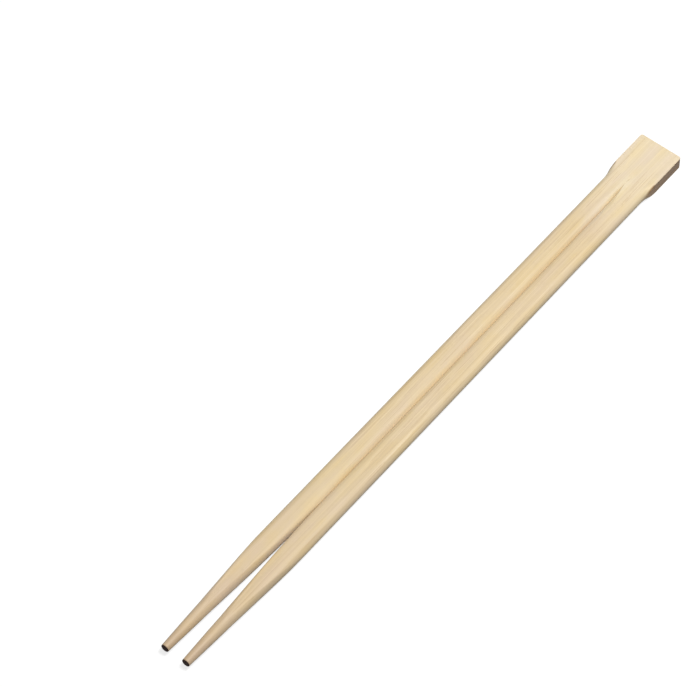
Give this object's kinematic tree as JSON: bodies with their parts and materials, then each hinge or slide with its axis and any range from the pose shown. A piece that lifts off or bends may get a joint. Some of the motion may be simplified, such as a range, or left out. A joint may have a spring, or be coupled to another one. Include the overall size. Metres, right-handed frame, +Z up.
{
  "type": "joined disposable bamboo chopsticks",
  "caption": "Bamboo slat cut into side-by-side chopsticks still joined at a square head, with a grooved slit between them, rounded outer sides and turned points.",
  "frame": {"origin": "under the middle of the slat, on its flat underside", "axes": "+X from the tips to the joined head, +Y across the sticks, +Z up"},
  "size_m": [0.23, 0.0148, 0.0044],
  "materials": {
    "bamboo": "bare, planed and tumbled"
  },
  "bodies": {
    "root": {"joined_chopsticks": "bamboo"}
  },
  "joints": []
}
